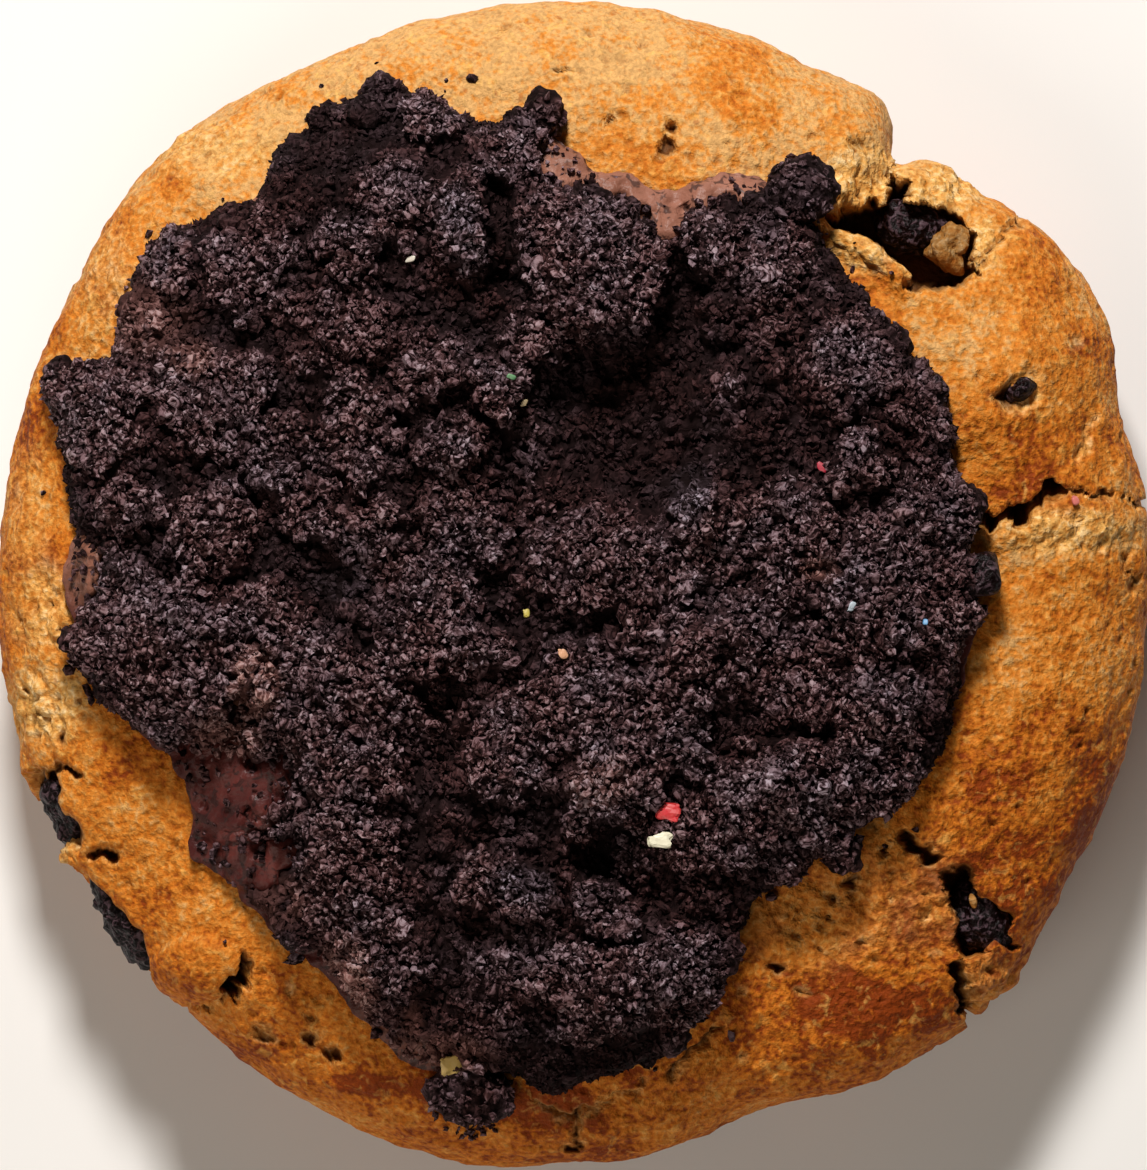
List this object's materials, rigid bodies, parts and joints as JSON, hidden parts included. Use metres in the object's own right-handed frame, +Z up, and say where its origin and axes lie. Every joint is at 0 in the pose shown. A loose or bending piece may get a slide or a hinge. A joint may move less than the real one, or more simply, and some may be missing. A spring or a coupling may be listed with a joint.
{
  "type": "chocolate chip cookie with chocolate crumb topping",
  "caption": "Thick soft-baked round chocolate chip cookie, cracked at the edge, spread with chocolate and heaped with dark crushed cookie crumbs.",
  "frame": {"origin": "centre of the cookie's outline, on the table it rests on", "axes": "+Z up out of the crumb topping; seen from above, +X is to the right of the picture and +Y to its top"},
  "size_m": [0.1007, 0.1019, 0.0362],
  "materials": {
    "crust": "matte, golden brown baked dough",
    "spread": "satin, milk chocolate spread",
    "crumbs": "matte, near-black cookie crumbs with a few coloured flecks",
    "chocolate": "satin, dark chocolate"
  },
  "bodies": {
    "root": {"cookie_base": "crust", "chocolate_spread": "spread", "crumb_topping": "crumbs", "chunk_in_hole": "chocolate", "chip_right": "chocolate", "chunk_lower_right": "chocolate", "chunk_left_upper": "chocolate", "chunk_left_lower": "chocolate"}
  },
  "joints": []
}
